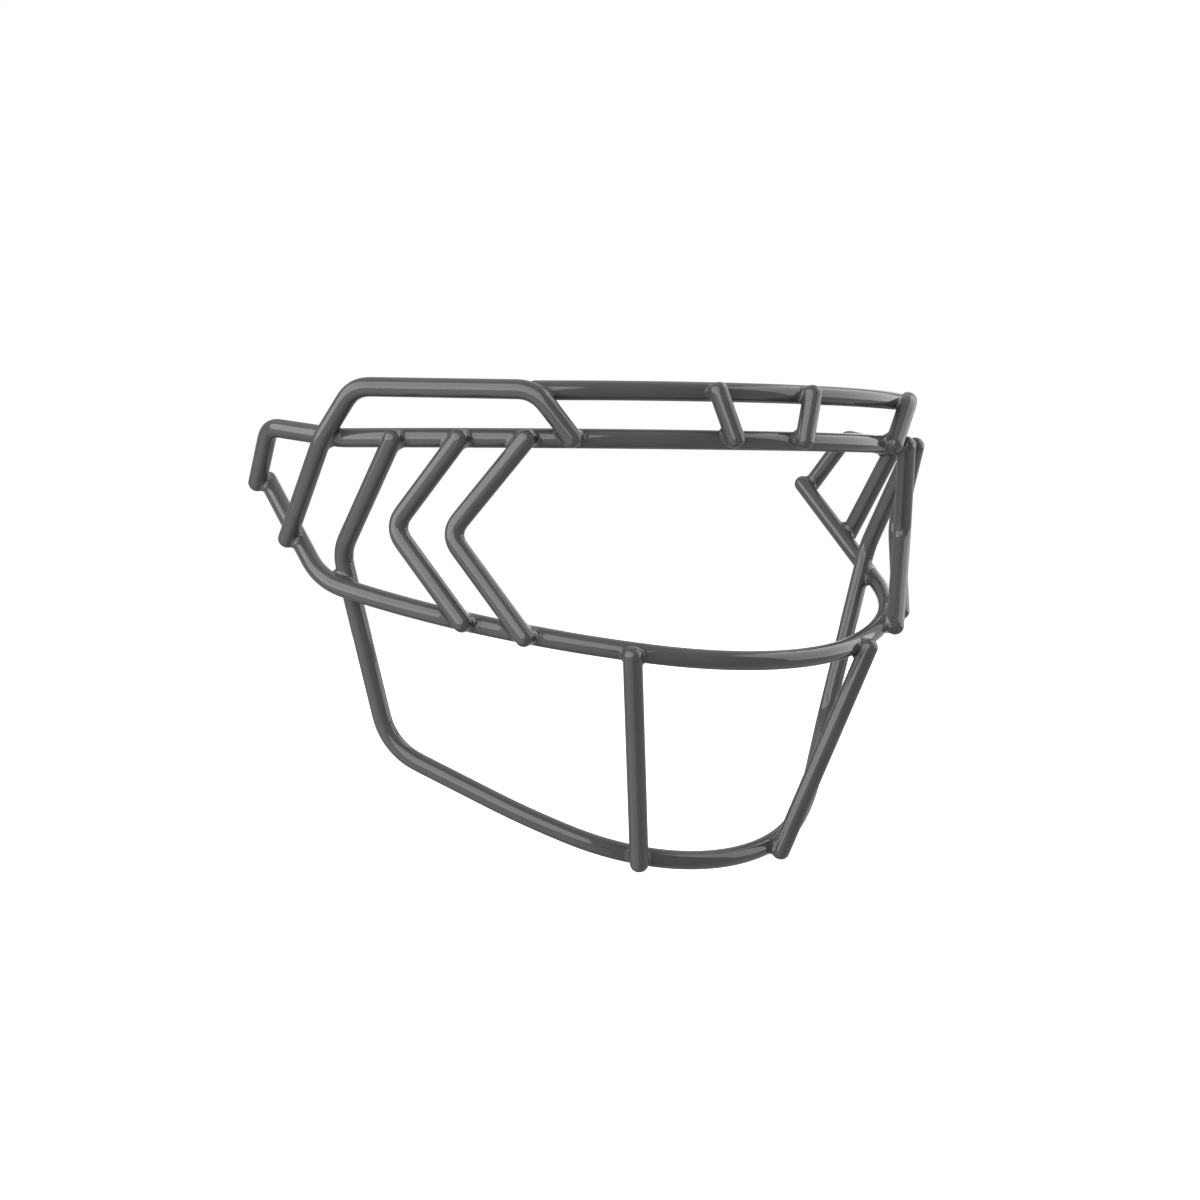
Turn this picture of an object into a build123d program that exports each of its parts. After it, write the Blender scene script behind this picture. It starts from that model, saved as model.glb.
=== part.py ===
from build123d import *
from dataclasses import dataclass
from math import cos, radians, sin, tan
import os

# Football helmet facemask: a cage of bent round wires, lapped over each other and welded.
# Lengths are in millimetres and angles in degrees. +Z is up, the wearer looks along -Y, and
# the cage is the same on both sides of the plane x = 0. The origin is the middle of the brow
# bar, on its centreline. Pieces are shaped on the wearer's right (-X) and mirrored.

# Wire and joints
wire_diameter = 6.0
weld_sink = 1.2
leg_weld_sink = 2.2
weld_radius = 1.9
leg_weld_radius = 2.5
weld_gap = 0.03
end_reach = 3.0
trimmed_reach = 2.0
end_round = 2.4
bend_share = 0.95

# Brow bar: an almost level arc across the forehead, a short rise back to each rear corner,
# and a leg down from there
brow_radius = 112.3
brow_slant_angle = 0.9
brow_end_angle = 67.7
brow_kink_lead = 7.6
brow_kink_radius = 30.4
brow_corner_radius = 8.2
brow_side_length = 33.9
brow_side_flare = 8.9
brow_side_rise = 4.2
brow_leg_back = 17.3
brow_leg_drop = 17.6
brow_leg_tuck = 3.4

# Top bar: a level arc above the brow bar
top_bar_rise = 14.7
top_bar_set_back = 1.9
top_bar_radius = 128.8
top_bar_end_angle = 32.0

# Mid bar: a tilted arc under the nose, and a leg back and up to each brow leg
mid_bar_drop = 67.4
mid_bar_lead = 4.3
mid_slant_angle = 14.6
mid_front_radius = 73.7
mid_front_angle = 30.1
mid_side_radius = 162.4
mid_end_angle = 65.8
mid_kink_lead = 11.7
mid_kink_radius = 33.6

# Jaw bar: a steeply tilted arc round the chin, then a side that rises inside the mid bar and
# leans forward to the brow bar
jaw_bar_drop = 132.7
jaw_bar_set_back = 27.5
jaw_slant_angle = 32.1
jaw_front_radius = 64.9
jaw_front_angle = 43.0
jaw_side_radius = 191.0
jaw_end_angle = 51.4
jaw_corner_lead = 36.9
jaw_corner_radius = 19.5
jaw_bend_rise = 10.8
jaw_bend_radius = 12.1
jaw_on_mid_angle = 67.3
jaw_on_brow_angle = 59.2

# Side loops: from the brow bar up past the end of the top bar, back, and down across the
# brow bar to the leg of the mid bar
loop_on_brow_angle = 31.3
loop_crossing_lead = 3.0
loop_lean_back = 13.0
loop_turn_in = 4.5
loop_rear_rise = 15.4
loop_corner_radius = 9.9
loop_kink_radius = 16.0
loop_on_leg_share = 0.42

# Chevrons: two a side, from the brow bar back to a sharp bend and forward to the mid bar
rear_chevron_brow_angle = 48.2
rear_chevron_mid_angle = 50.2
front_chevron_brow_angle = 38.0
front_chevron_mid_angle = 43.5
chevron_sweep = 25.1
chevron_lift = 1.0
chevron_turn_angle = 12.5
chevron_bend_radius = 5.7

# Straight wires
upright_mid_angle = 32.2
upright_jaw_angle = 22.9
strut_top_angle = 7.6
strut_brow_angle = 6.3

wire_radius = wire_diameter / 2
lap = wire_diameter - weld_sink
leg_lap = wire_diameter - leg_weld_sink


@dataclass
class Bar:
    """A bar that crosses the face: a front arc and a side arc in one tilted plane."""

    front: Vector
    slant: float
    front_radius: float
    front_angle: float
    side_radius: float

    def plane(self):
        tilt = radians(self.slant)
        return Plane(origin=self.front, x_dir=(1, 0, 0), z_dir=(0, -sin(tilt), cos(tilt)))

    def turned(self, across, back):
        return self.plane().from_local_coords(Vector(across, back, 0)) - self.front

    def point(self, angle):
        """Centreline point where the bar has turned by an angle from straight ahead."""
        first = radians(min(angle, self.front_angle))
        second = radians(angle)
        across = -self.front_radius * sin(first) - self.side_radius * (sin(second) - sin(first))
        back = self.front_radius * (1 - cos(first)) + self.side_radius * (cos(first) - cos(second))
        if angle <= self.front_angle:
            across = -self.front_radius * sin(second)
            back = self.front_radius * (1 - cos(second))
        return self.front + self.turned(across, back)

    def tangent(self, angle):
        """Direction along the bar, towards its rear end."""
        return self.turned(-cos(radians(angle)), sin(radians(angle)))

    def outward(self, angle):
        """Direction square to the bar in its own plane, away from the face."""
        return self.turned(-sin(radians(angle)), -cos(radians(angle)))

    def outside(self, angle):
        """Centreline point of a wire that is lapped over the front of the bar."""
        return self.point(angle) + self.outward(angle) * lap

    def inside(self, angle):
        """Centreline point of a wire that passes behind the bar."""
        return self.point(angle) - self.outward(angle) * lap

    def arc(self, start, end):
        return ThreePointArc(self.point(start), self.point((start + end) / 2), self.point(end))

    def front_arc(self):
        side = self.point(self.front_angle)
        return ThreePointArc(side, self.front, Vector(-side.X, side.Y, side.Z))


brow = Bar(Vector(0, 0, 0), brow_slant_angle, brow_radius, brow_end_angle, brow_radius)
top = Bar(
    Vector(0, top_bar_set_back, top_bar_rise), 0, top_bar_radius, top_bar_end_angle, top_bar_radius
)
mid = Bar(
    Vector(0, -mid_bar_lead, -mid_bar_drop),
    mid_slant_angle,
    mid_front_radius,
    mid_front_angle,
    mid_side_radius,
)
jaw = Bar(
    Vector(0, jaw_bar_set_back, -jaw_bar_drop),
    jaw_slant_angle,
    jaw_front_radius,
    jaw_front_angle,
    jaw_side_radius,
)

# Corner points on the wearer's right
brow_kink = brow.point(brow_end_angle) + brow.tangent(brow_end_angle) * brow_kink_lead
brow_corner = brow_kink + Vector(-brow_side_flare, brow_side_length, brow_side_rise)
brow_foot = brow_corner + Vector(brow_leg_tuck, brow_leg_back, -brow_leg_drop)
mid_kink = mid.point(mid_end_angle) + mid.tangent(mid_end_angle) * mid_kink_lead
leg_across = (brow_foot - brow_corner).cross(brow_foot - mid_kink).normalized()
mid_end = brow_foot + leg_across * leg_lap
jaw_corner = jaw.point(jaw_end_angle) + jaw.tangent(jaw_end_angle) * jaw_corner_lead
jaw_pass = mid.inside(jaw_on_mid_angle)
jaw_bend = jaw_pass + (jaw_pass - jaw_corner).normalized() * jaw_bend_rise
jaw_end = brow.outside(jaw_on_brow_angle)
loop_front = top.outside(top_bar_end_angle)
loop_crossing = brow_kink + brow.tangent(brow_end_angle) * loop_crossing_lead
loop_kink = loop_crossing + brow.outward(brow_end_angle) * lap
loop_rear = loop_kink + Vector(loop_turn_in, -loop_lean_back, loop_rear_rise)
loop_seat = mid_kink + (mid_end - mid_kink) * loop_on_leg_share
loop_across = (loop_seat - loop_kink).cross(mid_kink - mid_end).normalized()
loop_end = loop_seat + loop_across * leg_lap


def beyond(end, neighbour, reach=end_reach):
    """Point past the end of a run, away from its neighbour."""
    return end + (end - neighbour).normalized() * reach


def bends(points, radii):
    """Bend radii, each no larger than the straight runs on both sides of it have room for."""
    fitting = []
    for before, corner, after, radius in zip(points, points[1:], points[2:], radii):
        half_turn = (corner - before).get_angle(after - corner) / 2
        run = min((corner - before).length, (after - corner).length)
        fitting.append(min(radius, run * bend_share / tan(radians(half_turn))))
    return fitting


def rod(line, gap):
    """Round rod along a line with rounded cut ends, larger than the wire by a gap all round."""
    with BuildPart() as piece:
        with BuildSketch(Plane(origin=line @ 0, z_dir=line % 0)):
            Circle(wire_radius + gap)
        sweep(path=line)
        fillet(piece.faces().filter_by(GeomType.PLANE).edges(), end_round + gap)
    return piece.part


class Wire:
    """A bent round wire: its metal, and the room that weld metal leaves for it."""

    def __init__(self, path):
        line = path.wire()
        self.metal = rod(line, 0)
        self.room = rod(line, weld_gap)


def seated(piece, *under):
    """The wire with a seat cut in it for each wire that it is pressed onto."""
    with BuildPart() as cut:
        add(piece.metal)
        for other in under:
            add(other.metal, mode=Mode.SUBTRACT)
    return cut.part


def mirrored(piece):
    """The same piece on the wearer's left."""
    with BuildPart() as twin:
        mirror(piece, about=Plane.YZ)
    return twin.part


def bent(points, radii):
    """Path of straight runs between points, with a bend at each corner."""
    with BuildLine() as path:
        FilletPolyline(*points, radius=bends(points, radii))
    return path


def chevron(brow_angle, mid_angle):
    """Path of a wire that is bent back halfway between the brow bar and the mid bar."""
    upper = brow.outside(brow_angle)
    lower = mid.outside(mid_angle)
    sweep_back = brow.tangent(brow_angle + chevron_turn_angle) * chevron_sweep
    bend = (upper + lower) / 2 + sweep_back + Vector(0, 0, chevron_lift)
    ends = [beyond(upper, bend, trimmed_reach), beyond(lower, bend, trimmed_reach)]
    return bent([ends[0], bend, ends[1]], [chevron_bend_radius])


def straight(upper, lower):
    """Path of a straight wire that reaches past the two bars it is welded to."""
    with BuildLine() as path:
        Line(beyond(upper, lower), beyond(lower, upper, trimmed_reach))
    return path


def weld(low, high, *wires, radius=weld_radius):
    """Weld metal round the joint between two centreline points, and the same on the left.

    It fills the crevice between the two wires, as far in as a ball that rolls round the joint
    can't reach, and keeps a small gap from the wires themselves.
    """
    joint = (low + high) / 2
    with BuildPart() as bead:
        for piece in wires:
            add(piece.metal)
        seam = bead.edges().filter_by(
            lambda edge: edge.geom_type not in (GeomType.CIRCLE, GeomType.LINE)
            and (edge.center(CenterOf.BOUNDING_BOX) - joint).length < wire_diameter
        )
        fillet(seam, radius)
        for piece in wires:
            add(piece.room, mode=Mode.SUBTRACT)
    with BuildPart() as pair:
        add(bead.part)
        mirror(bead.part, about=Plane.YZ)
    return pair.part


# The four bars, each in one length from side to side
with BuildLine() as brow_path:
    brow_corners = [beyond(brow_foot, brow_corner), brow_corner, brow_kink]
    brow_corners.append(brow.point(brow_end_angle))
    brow_radii = bends(brow_corners, [brow_corner_radius, brow_kink_radius])
    FilletPolyline(*brow_corners, radius=brow_radii)
    mirror(about=Plane.YZ)
    brow.front_arc()
brow_wire = Wire(brow_path)

with BuildLine() as top_path:
    top_end = top.point(top_bar_end_angle)
    Line(top_end + top.tangent(top_bar_end_angle) * end_reach, top_end)
    mirror(about=Plane.YZ)
    top.front_arc()
top_wire = Wire(top_path)

with BuildLine() as mid_path:
    mid_corners = [beyond(mid_end, mid_kink), mid_kink, mid.point(mid_end_angle)]
    FilletPolyline(*mid_corners, radius=bends(mid_corners, [mid_kink_radius]))
    mid.arc(mid_end_angle, mid_front_angle)
    mirror(about=Plane.YZ)
    mid.front_arc()
mid_wire = Wire(mid_path)

with BuildLine() as jaw_path:
    jaw_corners = [beyond(jaw_end, jaw_bend, trimmed_reach), jaw_bend, jaw_corner, jaw.point(jaw_end_angle)]
    jaw_radii = bends(jaw_corners, [jaw_bend_radius, jaw_corner_radius])
    FilletPolyline(*jaw_corners, radius=jaw_radii)
    jaw.arc(jaw_end_angle, jaw_front_angle)
    mirror(about=Plane.YZ)
    jaw.front_arc()
jaw_wire = Wire(jaw_path)

# The wires between the bars, on the wearer's right
loop_foot = brow.outside(loop_on_brow_angle)
loop_corners = [beyond(loop_foot, loop_front), loop_front, loop_rear, loop_kink]
loop_corners.append(beyond(loop_end, loop_kink))
loop_radii = [loop_corner_radius, loop_corner_radius, loop_kink_radius]
loop_wire = Wire(bent(loop_corners, loop_radii))
rear_wire = Wire(chevron(rear_chevron_brow_angle, rear_chevron_mid_angle))
front_wire = Wire(chevron(front_chevron_brow_angle, front_chevron_mid_angle))
upright_wire = Wire(straight(mid.outside(upright_mid_angle), jaw.outside(upright_jaw_angle)))
strut_wire = Wire(straight(top.outside(strut_top_angle), brow.outside(strut_brow_angle)))

# The brow bar and the top bar stay whole, and each wire that laps another has seats cut in it
pieces = {
    "brow_bar": brow_wire.metal,
    "top_bar": top_wire.metal,
    "mid_bar": seated(mid_wire, brow_wire),
    "jaw_bar": seated(jaw_wire, brow_wire, mid_wire),
}
side_pieces = {
    "side_loop": seated(loop_wire, brow_wire, top_wire, mid_wire),
    "rear_chevron": seated(rear_wire, brow_wire, mid_wire),
    "front_chevron": seated(front_wire, brow_wire, mid_wire),
    "mouth_upright": seated(upright_wire, mid_wire, jaw_wire),
    "brow_strut": seated(strut_wire, brow_wire, top_wire),
}
for name, piece in side_pieces.items():
    pieces[name + "_right"] = piece
    pieces[name + "_left"] = mirrored(piece)

# Welds where a wire is lapped over the outside of a bar: the bar, its wire, the angle round
# the bar, and the wire that is lapped over it
outside_welds = {
    "brow_strut": (brow, brow_wire, strut_brow_angle, strut_wire),
    "brow_loop_front": (brow, brow_wire, loop_on_brow_angle, loop_wire),
    "brow_front_chevron": (brow, brow_wire, front_chevron_brow_angle, front_wire),
    "brow_rear_chevron": (brow, brow_wire, rear_chevron_brow_angle, rear_wire),
    "brow_jaw": (brow, brow_wire, jaw_on_brow_angle, jaw_wire),
    "top_strut": (top, top_wire, strut_top_angle, strut_wire),
    "top_loop": (top, top_wire, top_bar_end_angle, loop_wire),
    "mid_upright": (mid, mid_wire, upright_mid_angle, upright_wire),
    "mid_front_chevron": (mid, mid_wire, front_chevron_mid_angle, front_wire),
    "mid_rear_chevron": (mid, mid_wire, rear_chevron_mid_angle, rear_wire),
    "jaw_upright": (jaw, jaw_wire, upright_jaw_angle, upright_wire),
}
for name, (bar, bar_wire, angle, lapped_wire) in outside_welds.items():
    pieces["weld_" + name] = weld(bar.point(angle), bar.outside(angle), bar_wire, lapped_wire)

# The other welds: the jaw bar behind the mid bar, and the joints round the rear corner
pieces["weld_mid_jaw"] = weld(mid.point(jaw_on_mid_angle), jaw_pass, mid_wire, jaw_wire)
pieces["weld_brow_loop_rear"] = weld(loop_crossing, loop_kink, brow_wire, loop_wire)
leg_weld_wires = [mid_wire, brow_wire]
pieces["weld_brow_mid"] = weld(brow_foot, mid_end, *leg_weld_wires, radius=leg_weld_radius)
leg_weld_wires = [mid_wire, loop_wire]
pieces["weld_mid_loop"] = weld(loop_seat, loop_end, *leg_weld_wires, radius=leg_weld_radius)

os.makedirs("parts", exist_ok=True)
for name, piece in pieces.items():
    piece.label = name
    export_step(piece, f"parts/{name}.step")
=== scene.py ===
import math

import bpy
import numpy as np
from mathutils import Matrix, Vector


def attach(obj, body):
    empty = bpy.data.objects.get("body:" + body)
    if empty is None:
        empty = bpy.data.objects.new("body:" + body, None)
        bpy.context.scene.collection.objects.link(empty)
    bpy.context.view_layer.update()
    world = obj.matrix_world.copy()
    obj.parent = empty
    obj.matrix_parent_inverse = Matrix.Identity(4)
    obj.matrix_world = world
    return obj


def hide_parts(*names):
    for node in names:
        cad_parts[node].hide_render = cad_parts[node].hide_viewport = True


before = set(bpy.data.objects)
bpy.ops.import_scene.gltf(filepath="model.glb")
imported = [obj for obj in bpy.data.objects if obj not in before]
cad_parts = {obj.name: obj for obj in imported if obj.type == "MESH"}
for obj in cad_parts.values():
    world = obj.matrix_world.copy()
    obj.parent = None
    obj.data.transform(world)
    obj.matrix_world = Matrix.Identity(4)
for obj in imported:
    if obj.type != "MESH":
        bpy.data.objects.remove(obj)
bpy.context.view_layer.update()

# A football helmet facemask: fourteen bent wires, welded where they lap, under one glossy
# dark grey coating. Shapes are worked out in millimetres, in the frame of the CAD model:
# +Z is up, the wearer looks along -Y, and the wearer's left is +X. Every wire is laid out on
# the wearer's right, at -X, and mirrored.

MM = 0.001

# ---------------------------------------------------------------------------------------
# Measures, in millimetres and degrees
# ---------------------------------------------------------------------------------------

# Wire, over its coating, and the rounding of its ends
WIRE_DIAMETER = 6.0
WIRE_RADIUS = WIRE_DIAMETER / 2
TIP_ROUND = 2.7

# Joints: from centreline to centreline, and the same on the mid bar's legs
LAP = WIRE_DIAMETER - 1.2
LEG_LAP = WIRE_DIAMETER - 2.2

# Wire ends: how far they reach past their joint, uncut, trimmed, and cut to a nub
END_REACH = 2.8
TRIMMED_REACH = 2.4
NUB_REACH = 1.6

# Bars: the angle that each has turned by where its arc ends
BROW_END = 67.7
TOP_END = 32.0
MID_END = 65.8
JAW_END = 51.4

# Joints on the bars: the angle that the bar has turned by there
STRUT_ON_BROW = 6.3
LOOP_ON_BROW = 31.3
FRONT_CHEVRON_ON_BROW = 38.0
REAR_CHEVRON_ON_BROW = 48.2
JAW_ON_BROW = 59.2
STRUT_ON_TOP = 7.6
UPRIGHT_ON_MID = 32.2
FRONT_CHEVRON_ON_MID = 43.5
REAR_CHEVRON_ON_MID = 50.2
JAW_ON_MID = 67.3
UPRIGHT_ON_JAW = 22.9

# Runs: a length along the wire, or a step to the left, back and up
BROW_KINK_LEAD = 7.6
BROW_SIDE_RUN = (-8.9, 33.9, 4.2)
BROW_LEG_RUN = (3.4, 17.3, -17.6)
MID_KINK_LEAD = 11.7
JAW_CORNER_LEAD = 36.9
JAW_BEND_RISE = 10.8
LOOP_KINK_SHIFT = 3.0
LOOP_REAR_RUN = (4.5, -13.0, 15.4)

# Side loop: how far up the mid bar's leg it ends, as a share of the leg
LOOP_ON_LEG_SHARE = 0.42

# Chevrons: how far behind the middle of its ends the bend lies, along the brow bar's
# direction so many degrees on, and how much higher
CHEVRON_TURN = 12.5
CHEVRON_SWEEP = 25.1
CHEVRON_LIFT = 1.0

# Bends: radii of the centreline
BROW_CORNER_BEND = 8.2
BROW_KINK_BEND = 30.4
MID_KINK_BEND = 33.6
JAW_BEND = 12.1
JAW_CORNER_BEND = 19.5
LOOP_CORNER_BEND = 9.9
LOOP_KINK_BEND = 16
CHEVRON_BEND = 5.7

# Points along a route: steps on runs, bends and the whole line, how far the easing of a bend
# spreads, and points to each degree of a bar's arc
RUN_STEP = 0.5
BEND_STEP = 0.4
ROUTE_STEP = 0.4
EASE_SPREAD = 1.3
ARC_DENSITY = 4

# Wire's mesh: points round it, rings on each rounded end, and how far from the tip the plain
# rings start, as a share of the rounding
WIRE_SIDES = 48
TIP_RINGS = 9
TIP_SHARE = 1.05

# Weld's mesh: places round a joint, places across the fillet, closer at its edges, and how
# far inside the wires its ring closes
WELD_TURNS = 180
FILLET_SHARES = np.r_[0, 0.03, np.linspace(0.1, 0.9, 11), 0.97, 1]
SUNK = 0.5

# Weld's swell: how much it gains in a wide corner, the least that a sharp one keeps, how
# softly that floor sets in, and how far the swell evens out along the way
CORNER_SWELL = 1.1
SHARP_SHARE = 0.35
CORNER_EASE = 0.1
SWELL_SPREAD = 2.0

# Weld's ripple: three long waves and five short ones to a turn, as shares of the ball, and
# how far the waves are shifted from one weld to the next and from right to left
LONG_RIPPLE = 0.05
SHORT_RIPPLE = 0.03
WELD_PHASE = 1.7
TWIN_PHASE = 0.9

# Wires that run along each other: the sine of the angle between them below which the ball's
# start is searched, the cosine above which a weld has a set slant, and that slant
ALONG_SINE = 0.3
ALONG_COSINE = 0.95
ALONG_SLANT = -0.4

# Search for that start: distances along the heading, how far the rises reach below the
# lower wire and above the higher one, how many there are, and what a place costs for lying
# a millimetre further out
SEARCH_SIZES = np.linspace(2, 12, 15)
SEARCH_MARGIN = 3
SEARCH_RISES = 13
OUTER_COST = 0.03

# Ball's search: how much wire round a joint it sees, Newton steps, the longest of them, and
# the least determinant
JOINT_SPAN = 16.0
NEWTON_STEPS = 40
LONGEST_STEP = 0.5
LEAST_DETERMINANT = 0.05

# ---------------------------------------------------------------------------------------
# Routes of the wires
# ---------------------------------------------------------------------------------------


def unit(v):
    """A vector, or an array of them, divided by its length."""
    v = np.asarray(v, float)
    return v / np.linalg.norm(v, axis=-1, keepdims=True)


def mirrored(line):
    """Points of the wearer's right side brought to the left: their X changes sign."""
    return line * (-1, 1, 1)


def distances(line):
    """How far along a line each of its points lies: the sum of the runs before it."""
    return np.r_[0, np.cumsum(np.linalg.norm(np.diff(line, axis=0), axis=1))]


class Bar:
    """A bar across the face: a front arc and a side arc in one tilted plane."""

    def __init__(self, front, slant, front_radius, front_angle, side_radius):
        self.front = np.array(front, float)
        self.slant = math.radians(slant)
        self.front_radius = front_radius
        self.front_angle = front_angle
        self.side_radius = side_radius

    def turned(self, across, back):
        """A step in the bar's own plane: across the face, and back up its slope."""
        return np.stack(
            [across, back * math.cos(self.slant), back * math.sin(self.slant)], axis=-1
        )

    def point(self, angle):
        """Centreline where the bar has turned by an angle: the front arc's sine and versed
        sine up to its end angle, then the side arc's from there on."""
        turn = np.radians(angle)
        first = np.minimum(turn, math.radians(self.front_angle))
        across = self.front_radius * np.sin(first)
        across = across + self.side_radius * (np.sin(turn) - np.sin(first))
        back = self.front_radius * (1 - np.cos(first))
        back = back + self.side_radius * (np.cos(first) - np.cos(turn))
        return self.front + self.turned(-across, back)

    def tangent(self, angle):
        """Direction of the centreline there: cosine across, sine back."""
        return self.turned(-np.cos(np.radians(angle)), np.sin(np.radians(angle)))

    def outward(self, angle):
        """Direction away from the face there: sine across, cosine forward."""
        return self.turned(-np.sin(np.radians(angle)), -np.cos(np.radians(angle)))

    def outside(self, angle):
        """Centreline of a wire that laps over the front of the bar."""
        return self.point(angle) + self.outward(angle) * LAP

    def inside(self, angle):
        """Centreline of a wire that passes behind the bar."""
        return self.point(angle) - self.outward(angle) * LAP


def beyond(end, neighbour, reach=END_REACH):
    """The point past the end of a run, away from its neighbour."""
    return end + unit(end - neighbour) * reach


def run(start, end):
    """Evenly spaced points along a straight run, its end left out."""
    count = max(2, int(np.linalg.norm(end - start) / RUN_STEP))
    return start + (end - start) * (np.arange(count) / count)[:, None]


def bent(points, radii):
    """Straight runs with a circular bend at each corner: the bend starts a radius over the
    tangent of half the corner's angle before it."""
    points = [np.asarray(p, float) for p in points]
    line, start = [], points[0]
    for before, corner, after, radius in zip(points, points[1:], points[2:], radii):
        back, on = unit(before - corner), unit(after - corner)
        half = math.acos(float(back @ on)) / 2
        enter = corner + back * radius / math.tan(half)
        leave = corner + on * radius / math.tan(half)
        centre = corner + unit(back + on) * radius / math.sin(half)
        turn = math.pi - 2 * half
        first = unit(enter - centre)
        second = unit(np.cross(np.cross(first, leave - centre), first))
        count = max(6, int(radius * turn / BEND_STEP))
        angle = np.linspace(0, turn, count, endpoint=False)[:, None]
        line += [
            run(start, enter),
            centre + radius * (np.cos(angle) * first + np.sin(angle) * second),
        ]
        start = leave
    return np.vstack(line + [run(start, points[-1]), points[-1:]])


def evened(line, step):
    """The same line, with its points a step apart."""
    along = distances(line)
    places = np.linspace(0, along[-1], int(round(along[-1] / step)) + 1)
    return np.stack([np.interp(places, along, line[:, i]) for i in range(3)], axis=-1)


def softened(line):
    """The line as a bending machine leaves it: its curvature eases in and out of each bend.
    Each point becomes the bell-weighted mean of its neighbours, past straight ends."""
    line = evened(line, ROUTE_STEP)
    pad = int(round(4 * EASE_SPREAD / ROUTE_STEP))
    reach = np.arange(pad, 0, -1)[:, None]
    head = line[0] - (line[1] - line[0]) * reach
    tail = line[-1] + (line[-1] - line[-2]) * reach[::-1]
    long = np.vstack([head, line, tail])
    offset = np.arange(-pad, pad + 1) * ROUTE_STEP
    bell = np.exp(-0.5 * (offset / EASE_SPREAD) ** 2)
    bell /= bell.sum()
    return np.stack([np.convolve(long[:, i], bell, "valid") for i in range(3)], axis=-1)


def whole(rear, bar, end_angle):
    """A bar from side to side: its rear run, its arc, and the same mirrored."""
    angle = np.linspace(end_angle, 0, int(end_angle * ARC_DENSITY))
    right = np.vstack([rear, bar.point(angle)[1:]])
    return np.vstack([right, mirrored(right[:-1][::-1])])


brow = Bar(
    front=(0, 0, 0), slant=0.9, front_radius=112.3, front_angle=BROW_END, side_radius=112.3
)
top = Bar(
    front=(0, 1.9, 14.7), slant=0, front_radius=128.8, front_angle=TOP_END, side_radius=128.8
)
mid = Bar(
    front=(0, -4.3, -67.4), slant=14.6, front_radius=73.7, front_angle=30.1, side_radius=162.4
)
jaw = Bar(
    front=(0, 27.5, -132.7), slant=32.1, front_radius=64.9, front_angle=43.0, side_radius=191.0
)

brow_kink = brow.point(BROW_END) + brow.tangent(BROW_END) * BROW_KINK_LEAD
brow_corner = brow_kink + BROW_SIDE_RUN
brow_foot = brow_corner + BROW_LEG_RUN
mid_kink = mid.point(MID_END) + mid.tangent(MID_END) * MID_KINK_LEAD
leg_side = unit(np.cross(brow_foot - brow_corner, brow_foot - mid_kink))
mid_end = brow_foot + leg_side * LEG_LAP
jaw_corner = jaw.point(JAW_END) + jaw.tangent(JAW_END) * JAW_CORNER_LEAD
jaw_pass = mid.inside(JAW_ON_MID)
jaw_bend = jaw_pass + unit(jaw_pass - jaw_corner) * JAW_BEND_RISE
jaw_end = brow.outside(JAW_ON_BROW)
loop_foot = brow.outside(LOOP_ON_BROW)
loop_front = top.outside(TOP_END)
loop_kink = brow_kink + brow.tangent(BROW_END) * LOOP_KINK_SHIFT + brow.outward(BROW_END) * LAP
loop_rear = loop_kink + LOOP_REAR_RUN
loop_seat = mid_kink + (mid_end - mid_kink) * LOOP_ON_LEG_SHARE
seat_side = unit(np.cross(loop_seat - loop_kink, mid_kink - mid_end))
loop_end = loop_seat + seat_side * LEG_LAP


def chevron(brow_angle, mid_angle, foot_reach):
    """A side wire from the brow bar back to a sharp bend and forward to the mid bar."""
    upper, lower = brow.outside(brow_angle), mid.outside(mid_angle)
    back = brow.tangent(brow_angle + CHEVRON_TURN) * CHEVRON_SWEEP
    bend = (upper + lower) / 2 + back + (0, 0, CHEVRON_LIFT)
    ends = [beyond(upper, bend, TRIMMED_REACH), beyond(lower, bend, foot_reach)]
    return bent([ends[0], bend, ends[1]], [CHEVRON_BEND])


def straight(upper, lower):
    """A straight wire that reaches past the two bars it is welded to."""
    return np.array([beyond(upper, lower), beyond(lower, upper, TRIMMED_REACH)])


brow_rear = bent(
    [beyond(brow_foot, brow_corner), brow_corner, brow_kink, brow.point(BROW_END)],
    [BROW_CORNER_BEND, BROW_KINK_BEND],
)
top_rear = np.array(
    [top.point(TOP_END) + top.tangent(TOP_END) * END_REACH, top.point(TOP_END)]
)
mid_rear = bent([beyond(mid_end, mid_kink), mid_kink, mid.point(MID_END)], [MID_KINK_BEND])
jaw_rear = bent(
    [beyond(jaw_end, jaw_bend, TRIMMED_REACH), jaw_bend, jaw_corner, jaw.point(JAW_END)],
    [JAW_BEND, JAW_CORNER_BEND],
)
side_loop = bent(
    [beyond(loop_foot, loop_front), loop_front, loop_rear, loop_kink, beyond(loop_end, loop_kink)],
    [LOOP_CORNER_BEND, LOOP_CORNER_BEND, LOOP_KINK_BEND],
)
routes = {
    "brow_bar": whole(brow_rear, brow, BROW_END),
    "top_bar": whole(top_rear, top, TOP_END),
    "mid_bar": whole(mid_rear, mid, MID_END),
    "jaw_bar": whole(jaw_rear, jaw, JAW_END),
    "side_loop": side_loop,
    "rear_chevron": chevron(REAR_CHEVRON_ON_BROW, REAR_CHEVRON_ON_MID, NUB_REACH),
    "front_chevron": chevron(FRONT_CHEVRON_ON_BROW, FRONT_CHEVRON_ON_MID, TRIMMED_REACH),
    "mouth_upright": straight(mid.outside(UPRIGHT_ON_MID), jaw.outside(UPRIGHT_ON_JAW)),
    "brow_strut": straight(top.outside(STRUT_ON_TOP), brow.outside(STRUT_ON_BROW)),
}
routes = {name: softened(line) for name, line in routes.items()}

# ---------------------------------------------------------------------------------------
# Surfaces
# ---------------------------------------------------------------------------------------


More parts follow.
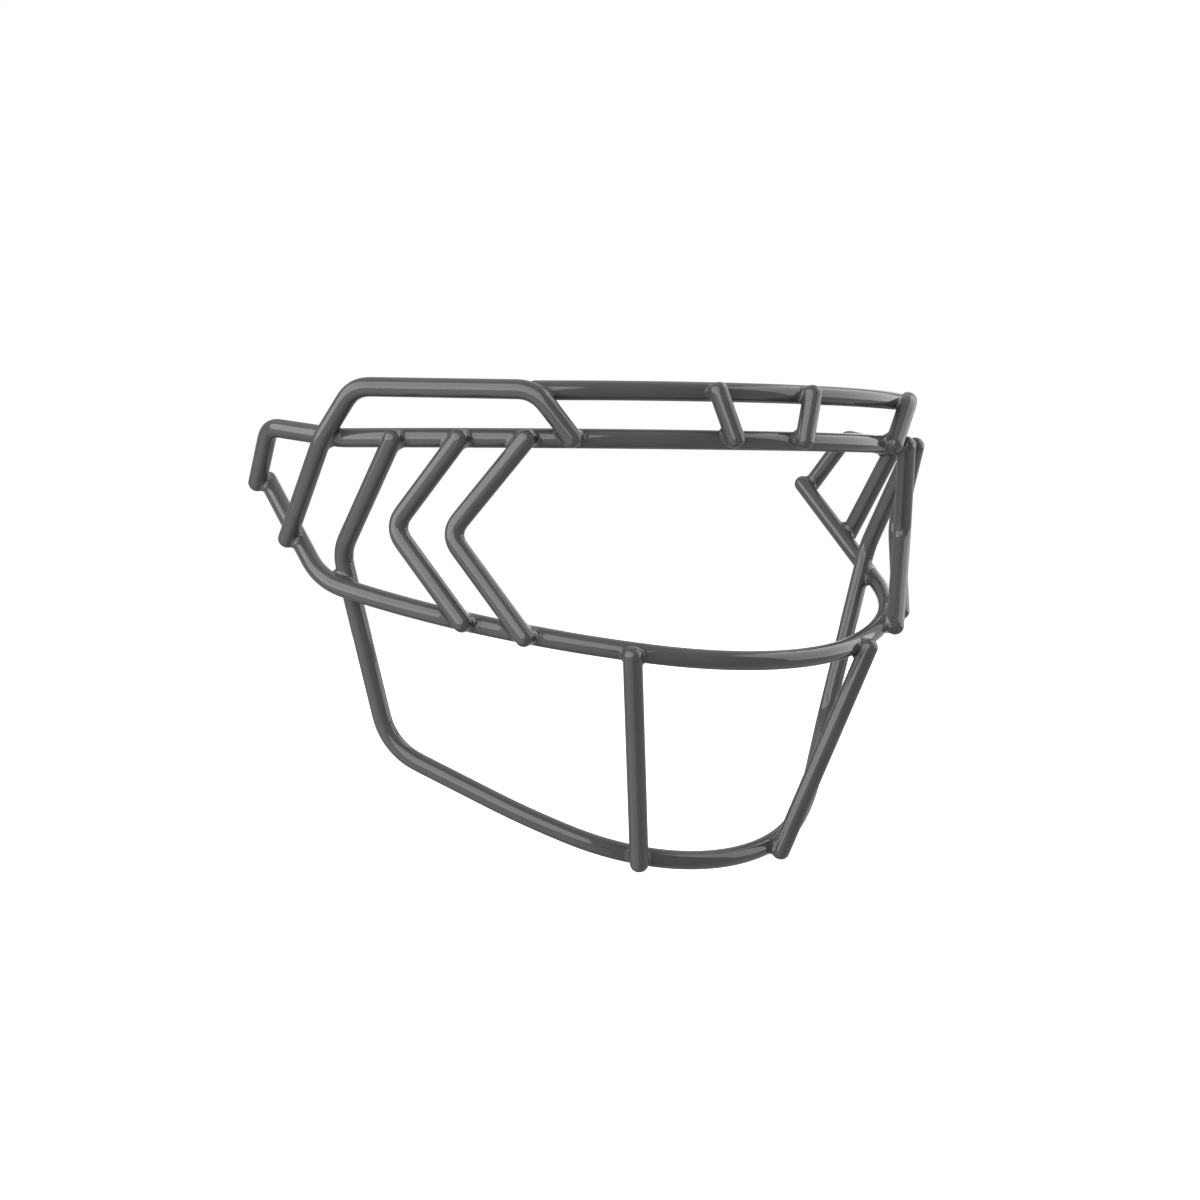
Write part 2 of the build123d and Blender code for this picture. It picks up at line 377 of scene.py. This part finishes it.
def mesh_object(name, points, faces, rims=None):
    """A smooth-shaded piece in metres, turned so that its faces point outwards: the signed
    volume under them is positive. rims numbers the points of each edge loop that stays
    sharp, and is 0 elsewhere."""
    tri = np.vstack([faces[:, [0, 1, 2]], faces[:, [0, 2, 3]]])
    a, b, c = (points[tri[:, i]] for i in range(3))
    if np.einsum("ij,ij->i", a, np.cross(b, c)).sum() < 0:
        faces = faces[:, ::-1]
    mesh = bpy.data.meshes.new(name)
    mesh.from_pydata((points * MM).tolist(), [], faces.tolist())
    mesh.polygons.foreach_set("use_smooth", np.ones(len(mesh.polygons), bool))
    if rims is not None:
        ends = np.empty(len(mesh.edges) * 2, int)
        mesh.edges.foreach_get("vertices", ends)
        ends = ends.reshape(-1, 2)
        same_rim = (rims[ends[:, 0]] > 0) & (rims[ends[:, 0]] == rims[ends[:, 1]])
        sharp = mesh.attributes.new("sharp_edge", "BOOLEAN", "EDGE")
        sharp.data.foreach_set("value", same_rim)
    mesh.update()
    thing = bpy.data.objects.new(name, mesh)
    bpy.context.scene.collection.objects.link(thing)
    return thing


def wire_rings(line):
    """Rings square to a line and of the wire's radius. At each end they draw in along a
    quarter circle to a small flat tip, with one more ring half-way in on the flat."""
    quarter = np.linspace(0, math.pi / 2, TIP_RINGS)
    flat_radius = WIRE_RADIUS - TIP_ROUND
    ease = TIP_ROUND * (1 - np.sin(quarter))
    tip_radius = flat_radius + TIP_ROUND * np.cos(quarter)
    along = distances(line)
    tip_length = TIP_ROUND * TIP_SHARE
    body = along[(along > tip_length) & (along < along[-1] - tip_length)]
    places = np.r_[0, ease[::-1], body, along[-1] - ease, along[-1]]
    cap = np.r_[flat_radius / 2, tip_radius[::-1]]
    radius = np.r_[cap, np.full(len(body), WIRE_RADIUS), cap[::-1]]
    centre = np.stack([np.interp(places, along, line[:, i]) for i in range(3)], axis=-1)
    slope = np.gradient(line, along, axis=0)
    forward = unit(np.stack([np.interp(places, along, slope[:, i]) for i in range(3)], axis=-1))
    flat = np.linalg.svd(line - line.mean(axis=0))[2][2]
    first = unit(np.cross(forward, flat))
    second = np.cross(forward, first)
    angle = np.linspace(0, 2 * math.pi, WIRE_SIDES, endpoint=False)[None, :, None]
    ring = np.cos(angle) * first[:, None] + np.sin(angle) * second[:, None]
    return centre[:, None] + radius[:, None, None] * ring


def wire_mesh(line):
    """Points and faces of a wire: its rings, joined by four-sided faces, and a point at each
    pole, where every face spans two sides of the ring."""
    rings = wire_rings(line)
    count, sides = len(rings), WIRE_SIDES
    points = np.vstack([rings.reshape(-1, 3), line[[0, -1]]])
    i, j = np.meshgrid(np.arange(count - 1), np.arange(sides), indexing="ij")
    k = (j + 1) % sides
    quads = [i * sides + j, i * sides + k, (i + 1) * sides + k, (i + 1) * sides + j]
    j = np.arange(0, sides, 2)
    k = (j + 2) % sides
    last = (count - 1) * sides
    start = [np.full_like(j, count * sides), k, j + 1, j]
    end = [np.full_like(j, count * sides + 1), last + j, last + j + 1, last + k]
    faces = [np.stack(corners, -1).reshape(-1, 4) for corners in (quads, start, end)]
    return points, np.vstack(faces)


def nearest(points, line):
    """For each point: the nearest point of a line of short runs, its distance along the
    line and the line's direction there."""
    start, step = line[:-1], np.diff(line, axis=0)
    length = np.linalg.norm(step, axis=1)
    offset = points[:, None] - start[None]
    share = np.clip(np.einsum("pij,ij->pi", offset, step) / length ** 2, 0, 1)
    feet = start[None] + share[..., None] * step[None]
    pick = np.argmin(np.linalg.norm(points[:, None] - feet, axis=2), axis=1)
    row = np.arange(len(points))
    before = np.r_[0, np.cumsum(length)]
    along = before[pick] + share[row, pick] * length[pick]
    return feet[row, pick], along, unit(step[pick])


def local_line(line, joint):
    """The part of a wire's line round a joint, made longer where the wire ends there, and
    how far along it the tip is."""
    _, along, _ = nearest(joint[None], line)
    lengths = distances(line)
    if along[0] < lengths[-1] / 2:
        line, along = line[::-1], lengths[-1] - along
        lengths = lengths[-1] - lengths[::-1]
    part = line[np.abs(lengths - along[0]) < JOINT_SPAN]
    tip = np.inf
    if lengths[-1] - along[0] < JOINT_SPAN / 2:
        tip = distances(part)[-1]
        part = np.vstack([part, part[-1] + unit(part[-1] - part[-2]) * JOINT_SPAN])
    return part, tip


def wire_distance(points, line, tip):
    """Distance from the skin of a wire with a rounded tip, and the direction away from it:
    the length of how far a point lies past the core's side and past its end, less the
    rounding. The two tiny numbers only keep it from dividing by nothing."""
    foot, along, forward = nearest(points, line)
    offset = points - foot
    offset -= np.einsum("ij,ij->i", offset, forward)[:, None] * forward
    side = np.linalg.norm(offset, axis=1)
    past_side = np.maximum(side - (WIRE_RADIUS - TIP_ROUND), 0)
    past_end = np.maximum(along - (tip - TIP_ROUND), 0)
    away = past_side[:, None] * offset / np.maximum(side, 1e-9)[:, None]
    away += past_end[:, None] * forward + 1e-12
    return np.hypot(past_side, past_end) - TIP_ROUND, unit(away)


def ball_start(psi, ball, foot, up, height, a, b, skins):
    """First guess of the ball's centre, as a heading square to the height between the two
    wires, a distance along it and a rise. For two straight wires that cross, with the ball's
    reach k = wire radius + ball radius and half their height m, the rise is
    m + (k - m) cos 2 psi, and the distances across the two wires are sin psi and cos psi times
    the root of 2 (k - m)(k + rise) and of 2 (k - m)(k + height - rise). Wires that run almost
    the same way are searched on a coarse grid instead, for the place that is nearest to
    touching both and a little for the one closer in."""
    sine = float(np.cross(a, b) @ up)
    nearly_along = abs(sine) < ALONG_SINE
    if nearly_along:
        b = unit(np.cross(up, a))
        sine = float(np.cross(a, b) @ up)
    reach = WIRE_RADIUS + ball
    rise = height / 2 + (reach - height / 2) * np.cos(2 * psi)
    across_low = np.sin(psi) * np.sqrt(2 * (reach - height / 2) * (reach + rise))
    across_high = np.cos(psi) * np.sqrt(2 * (reach - height / 2) * (reach + height - rise))
    flat = (b * across_low[:, None] - a * across_high[:, None]) / sine
    size = np.linalg.norm(flat, axis=1)
    heading = flat / size[:, None]
    if nearly_along:
        rises = np.linspace(-SEARCH_MARGIN, SEARCH_MARGIN + height, SEARCH_RISES)
        sizes, rises = np.meshgrid(SEARCH_SIZES, rises)
        sizes, rises = sizes.ravel(), rises.ravel()
        tries = foot + rises[:, None] * up + sizes[:, None] * heading[:, None]
        gaps = [skin(tries.reshape(-1, 3))[0].reshape(len(psi), -1) for skin in skins]
        cost = np.hypot(gaps[0] - ball[:, None], gaps[1] - ball[:, None]) + OUTER_COST * sizes
        pick = np.argmin(cost, axis=1)
        size, rise = sizes[pick], rises[pick]
    return heading, size, rise


def rolled_ball(psi, ball, foot, up, height, a, b, skins):
    """Centres of the ball where it touches both wires, by Newton steps in the plane of each
    heading, and the directions away from the two wires there."""
    heading, size, rise = ball_start(psi, ball, foot, up, height, a, b, skins)
    for _ in range(NEWTON_STEPS):
        centre = foot + rise[:, None] * up + size[:, None] * heading
        (d1, g1), (d2, g2) = (skin(centre) for skin in skins)
        m11, m12 = g1 @ up, np.einsum("ij,ij->i", g1, heading)
        m21, m22 = g2 @ up, np.einsum("ij,ij->i", g2, heading)
        det = m11 * m22 - m12 * m21
        floor = np.where(det < 0, -LEAST_DETERMINANT, LEAST_DETERMINANT)
        det = np.where(np.abs(det) < LEAST_DETERMINANT, floor, det)
        f1, f2 = d1 - ball, d2 - ball
        rise = rise - np.clip((f1 * m22 - f2 * m12) / det, -LONGEST_STEP, LONGEST_STEP)
        size = size - np.clip((f2 * m11 - f1 * m21) / det, -LONGEST_STEP, LONGEST_STEP)
    return centre, g1, g2


def weld_path(joint, first_line, second_line, size):
    """Headings, even along the way of a ball that rolls once round a joint, and how much the
    weld swells at each. It swells by the sine of twice the heading, held softly above a least
    share: most in the joint's wide corners, least in its sharp ones. The swell is then the
    bell-weighted mean of its neighbours along the way."""
    low, low_tip = local_line(first_line, joint)
    high, high_tip = local_line(second_line, joint)
    skins = (
        lambda points: wire_distance(points, low, low_tip),
        lambda points: wire_distance(points, high, high_tip),
    )
    foot = nearest(joint[None], low)[0]
    for _ in range(2):
        other = nearest(foot, high)[0]
        foot = nearest(other, low)[0]
    a, b = nearest(other, low)[2][0], nearest(foot, high)[2][0]
    height = float(np.linalg.norm(other - foot))
    up = (other[0] - foot[0]) / height
    crossing = (foot[0], up, height, a, b, skins)
    psi = np.linspace(0, 2 * math.pi, WELD_TURNS, endpoint=False)
    for _ in range(2):
        centre = rolled_ball(psi, np.full(WELD_TURNS, size), *crossing)[0]
        along = distances(np.vstack([centre, centre[:1]]))
        places = np.linspace(0, along[-1], WELD_TURNS, endpoint=False)
        psi = np.interp(places, along, np.r_[psi, psi[0] + 2 * math.pi])
    slant = float(a @ b)
    if abs(slant) > ALONG_COSINE:
        slant = ALONG_SLANT
    corner = 1 + CORNER_SWELL * slant * np.sin(2 * psi)
    corner = SHARP_SHARE + np.logaddexp(0, (corner - SHARP_SHARE) / CORNER_EASE) * CORNER_EASE
    apart = np.abs(places[:, None] - places)
    apart = np.minimum(apart, along[-1] - apart)
    bell = np.exp(-0.5 * (apart / SWELL_SPREAD) ** 2)
    return psi, bell @ corner / bell.sum(axis=1), crossing


def weld_mesh(psi, corner, crossing, size, phase):
    """Fillet that a ball leaves as it rolls round the crevice between two wires: the arc of
    the ball between its two contacts, for each place round the joint. The ball's radius
    ripples a little on the way round, as hand-run weld metal does: by the sines of three and
    five times the heading. The ring closes inside the wires."""
    ripple = LONG_RIPPLE * np.sin(3 * psi + phase) + SHORT_RIPPLE * np.sin(5 * psi + 2 * phase)
    ball = size * corner * (1 + ripple)
    centre, g1, g2 = rolled_ball(psi, ball, *crossing)
    angle = np.arccos(np.clip(np.einsum("ij,ij->i", g1, g2), -1, 1))
    share = FILLET_SHARES[:, None]
    low, high = np.sin((1 - share) * angle)[..., None], np.sin(share * angle)[..., None]
    skin = centre + ball[:, None] * -(low * g1 + high * g2) / np.sin(angle)[:, None]
    rows = np.concatenate([skin, [skin[-1] - g2 * SUNK, skin[0] - g1 * SUNK]])
    rims = np.zeros((len(rows), WELD_TURNS), int)
    rims[0], rims[len(skin) - 1] = 1, 2
    i, j = np.meshgrid(np.arange(len(rows)), np.arange(WELD_TURNS), indexing="ij")
    this, following = i * WELD_TURNS, (i + 1) % len(rows) * WELD_TURNS
    k = (j + 1) % WELD_TURNS
    faces = np.stack([this + j, this + k, following + k, following + j], -1)
    return rows.reshape(-1, 3), faces.reshape(-1, 4), rims.ravel()


# ---------------------------------------------------------------------------------------
# Coating
# ---------------------------------------------------------------------------------------

DARKER_GREY = (0.044, 0.044, 0.045, 1)
LIGHTER_GREY = (0.050, 0.050, 0.051, 1)


def ranged(tree, value, source, target, curve="LINEAR"):
    """A value carried from one range to another, and held at its ends."""
    node = tree.nodes.new("ShaderNodeMapRange")
    node.interpolation_type = curve
    for name, number in zip(("From Min", "From Max", "To Min", "To Max"), (*source, *target)):
        node.inputs[name].default_value = number
    tree.links.new(value, node.inputs["Value"])
    return node.outputs["Result"]


def added(tree, first, second):
    """The sum of two values."""
    node = tree.nodes.new("ShaderNodeMath")
    node.operation = "ADD"
    tree.links.new(first, node.inputs[0])
    tree.links.new(second, node.inputs[1])
    return node.outputs["Value"]


def coating_material():
    """Glossy dark grey coating over steel: a faint orange peel, small uneven patches in
    colour and gloss, and sparse rub marks."""
    material = bpy.data.materials.new("gloss_grey_coating")
    material.use_nodes = True
    tree = material.node_tree
    nodes, links = tree.nodes, tree.links
    shader = nodes["Principled BSDF"]
    shader.inputs["IOR"].default_value = 1.5
    place = nodes.new("ShaderNodeTexCoord")

    def noise(scale, detail, roughness=0.5):
        """Noise fixed to the object, of so many cells to the metre."""
        node = nodes.new("ShaderNodeTexNoise")
        node.inputs["Scale"].default_value = scale
        node.inputs["Detail"].default_value = detail
        node.inputs["Roughness"].default_value = roughness
        links.new(place.outputs["Object"], node.inputs["Vector"])
        return node.outputs["Fac"]

    patches = noise(scale=60, detail=3)
    colour = nodes.new("ShaderNodeMix")
    colour.data_type = "RGBA"
    colour.inputs["A"].default_value = DARKER_GREY
    colour.inputs["B"].default_value = LIGHTER_GREY
    links.new(ranged(tree, patches, (0.35, 0.65), (0, 1)), colour.inputs["Factor"])
    links.new(colour.outputs["Result"], shader.inputs["Base Color"])

    rubs = noise(scale=240, detail=6, roughness=0.65)
    patch_gloss = ranged(tree, patches, (0.3, 0.7), (0.09, 0.11))
    rub_gloss = ranged(tree, rubs, (0.66, 0.8), (0, 0.05))
    links.new(added(tree, patch_gloss, rub_gloss), shader.inputs["Roughness"])

    peel = noise(scale=420, detail=1)
    bump = nodes.new("ShaderNodeBump")
    bump.inputs["Strength"].default_value = 0.12
    bump.inputs["Distance"].default_value = 0.00004
    links.new(peel, bump.inputs["Height"])
    links.new(bump.outputs["Normal"], shader.inputs["Normal"])
    return material


coating = coating_material()


def dress(thing, *nodes):
    """Coats a piece, and lets it stand for its CAD nodes on the cage's one body."""
    thing.data.materials.append(coating)
    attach(thing, "root")
    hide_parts(*nodes)


# ---------------------------------------------------------------------------------------
# Pieces
# ---------------------------------------------------------------------------------------

for name, line in routes.items():
    if name.endswith("_bar"):
        wires = {name: line}
    else:
        wires = {name + "_right": line, name + "_left": mirrored(line)}
    for node, path in wires.items():
        points, faces = wire_mesh(path)
        dress(mesh_object("coated_" + node, points, faces), node)

# Welds: the joint, the two wires that meet in it, and the radius of the ball
welds = {
    "brow_strut": (brow.outside(STRUT_ON_BROW), "brow_bar", "brow_strut", 1.3),
    "brow_loop_front": (loop_foot, "brow_bar", "side_loop", 1.7),
    "brow_front_chevron": (brow.outside(FRONT_CHEVRON_ON_BROW), "brow_bar", "front_chevron", 1.8),
    "brow_rear_chevron": (brow.outside(REAR_CHEVRON_ON_BROW), "brow_bar", "rear_chevron", 1.8),
    "brow_jaw": (jaw_end, "brow_bar", "jaw_bar", 1.7),
    "brow_loop_rear": (loop_kink, "brow_bar", "side_loop", 1.4),
    "brow_mid": (mid_end, "brow_bar", "mid_bar", 1.6),
    "top_strut": (top.outside(STRUT_ON_TOP), "top_bar", "brow_strut", 1.3),
    "top_loop": (loop_front, "top_bar", "side_loop", 1.0),
    "mid_upright": (mid.outside(UPRIGHT_ON_MID), "mid_bar", "mouth_upright", 1.5),
    "mid_front_chevron": (mid.outside(FRONT_CHEVRON_ON_MID), "mid_bar", "front_chevron", 2.8),
    "mid_rear_chevron": (mid.outside(REAR_CHEVRON_ON_MID), "mid_bar", "rear_chevron", 2.8),
    "mid_jaw": (jaw_pass, "mid_bar", "jaw_bar", 1.3),
    "mid_loop": (loop_end, "mid_bar", "side_loop", 1.6),
    "jaw_upright": (jaw.outside(UPRIGHT_ON_JAW), "jaw_bar", "mouth_upright", 1.5),
}
for number, (name, (joint, low, high, size)) in enumerate(welds.items()):
    psi, corner, crossing = weld_path(joint, routes[low], routes[high], size)
    phase = WELD_PHASE * number
    right, faces, rims = weld_mesh(psi, corner, crossing, size, phase)
    left, left_faces, left_rims = weld_mesh(psi, corner, crossing, size, phase + TWIN_PHASE)
    points = np.vstack([right, mirrored(left)])
    faces = np.vstack([faces, left_faces[:, ::-1] + len(right)])
    rims = np.r_[rims, left_rims]
    dress(mesh_object("weld_" + name + "_fillet", points, faces, rims), "weld_" + name)

# ---------------------------------------------------------------------------------------
# Studio
# ---------------------------------------------------------------------------------------

# Camera: where the photograph was taken from, in metres and degrees
CAMERA_PLACE = (-0.4416, -0.6253, -0.02097)
CAMERA_YAW = -31.477
CAMERA_PITCH = -2.103
camera_data = bpy.data.cameras.new("camera")
camera_data.lens = 74.34
camera_data.sensor_width = 36.0
camera_data.clip_end = 50
camera = bpy.data.objects.new("camera", camera_data)
turn = Matrix.Rotation(math.radians(CAMERA_YAW), 4, "Z")
tilt = Matrix.Rotation(math.radians(90 + CAMERA_PITCH), 4, "X")
camera.matrix_world = Matrix.Translation(CAMERA_PLACE) @ turn @ tilt
bpy.context.scene.collection.objects.link(camera)
bpy.context.scene.camera = camera

WHITE = (1, 1, 1, 1)

# Floor: plain and pale, well below the cage, and left out of its reflections
FLOOR_HEIGHT = -0.4
FLOOR_SIZE = 12.0
edge = FLOOR_SIZE / 2
floor_mesh = bpy.data.meshes.new("floor")
corners = [(-edge, -edge), (edge, -edge), (edge, edge), (-edge, edge)]
floor_mesh.from_pydata([(x, y, FLOOR_HEIGHT) for x, y in corners], [], [(0, 1, 2, 3)])
floor = bpy.data.objects.new("floor", floor_mesh)
bpy.context.scene.collection.objects.link(floor)
paper = bpy.data.materials.new("white_floor")
paper.use_nodes = True
paper_shader = paper.node_tree.nodes["Principled BSDF"]
paper_shader.inputs["Base Color"].default_value = (0.85, 0.85, 0.85, 1)
paper_shader.inputs["Roughness"].default_value = 0.9
paper_shader.inputs["Emission Color"].default_value = WHITE
paper_shader.inputs["Emission Strength"].default_value = 1.0
floor_mesh.materials.append(paper)
floor.visible_glossy = False
floor.visible_diffuse = False

# Light: a wide soft box on each side, in a surround that is white to the camera and dim in
# reflections. Left and right are the picture's.
TARGET = Vector((0.0, 0.04, -0.06))


def soft_box(name, azimuth, elevation, distance, width, height, radiance):
    """An area light that faces the cage from a direction. Azimuth 0 is +Y and 90 is +X."""
    data = bpy.data.lights.new(name, "AREA")
    data.shape = "RECTANGLE"
    data.size, data.size_y = width, height
    data.energy = radiance * math.pi * width * height
    light = bpy.data.objects.new(name, data)
    a, e = math.radians(azimuth), math.radians(elevation)
    away = Vector((math.sin(a) * math.cos(e), math.cos(a) * math.cos(e), math.sin(e)))
    light.location = TARGET + away * distance
    light.rotation_euler = away.to_track_quat("Z", "Y").to_euler()
    light.visible_camera = False
    bpy.context.scene.collection.objects.link(light)


soft_box(
    "left_box", azimuth=-101, elevation=21, distance=1.2, width=2.9, height=1.5, radiance=3.0
)
soft_box(
    "right_box", azimuth=109, elevation=24, distance=1.2, width=1.5, height=1.6, radiance=2.1
)

world = bpy.data.worlds.new("studio")
world.use_nodes = True
sky = world.node_tree
direction = sky.nodes.new("ShaderNodeTexCoord")


def glow(vector, span, levels):
    """A brightness that rises smoothly between two levels as the cosine of the angle between
    a direction and a vector goes through a span."""
    dot = sky.nodes.new("ShaderNodeVectorMath")
    dot.operation = "DOT_PRODUCT"
    dot.inputs[1].default_value = vector
    sky.links.new(direction.outputs["Generated"], dot.inputs[0])
    return ranged(sky, dot.outputs["Value"], span, levels, "SMOOTHSTEP")


glows = [
    glow((0.522, 0.852, 0.0), (-0.1, 0.6), (0.3, 0.4)),           # wall behind the cage
    glow((0, 0, 1), (0.45, 0.9), (0.0, 0.35)),                    # ceiling
    glow((-0.86, 0, -0.51), (0.55, 0.9), (0.0, 0.7)),             # low on the left
    glow((0.86, 0, -0.51), (0.55, 0.9), (0.0, 0.3)),              # low on the right
    glow((-0.383, -0.663, -0.643), (-0.1, 0.6), (0.0, 0.16)),     # table before the camera
    glow((0.61, 0.35, 0.71), (0.8, 0.97), (0.0, 0.3)),            # high on the right
    glow((0.749, 0.629, 0.208), (0.955, 0.993), (0.0, 1.3)),      # behind, for right edges
]
total = glows[0]
for more in glows[1:]:
    total = added(sky, total, more)
surround = sky.nodes["Background"]
surround.inputs["Color"].default_value = WHITE
sky.links.new(total, surround.inputs["Strength"])
backdrop = sky.nodes.new("ShaderNodeBackground")
backdrop.inputs["Color"].default_value = WHITE
backdrop.inputs["Strength"].default_value = 1.0
rays = sky.nodes.new("ShaderNodeLightPath")
either = sky.nodes.new("ShaderNodeMixShader")
sky.links.new(rays.outputs["Is Camera Ray"], either.inputs["Fac"])
sky.links.new(surround.outputs["Background"], either.inputs[1])
sky.links.new(backdrop.outputs["Background"], either.inputs[2])
sky.links.new(either.outputs["Shader"], sky.nodes["World Output"].inputs["Surface"])
bpy.context.scene.world = world
bpy.context.scene.view_settings.view_transform = "Standard"
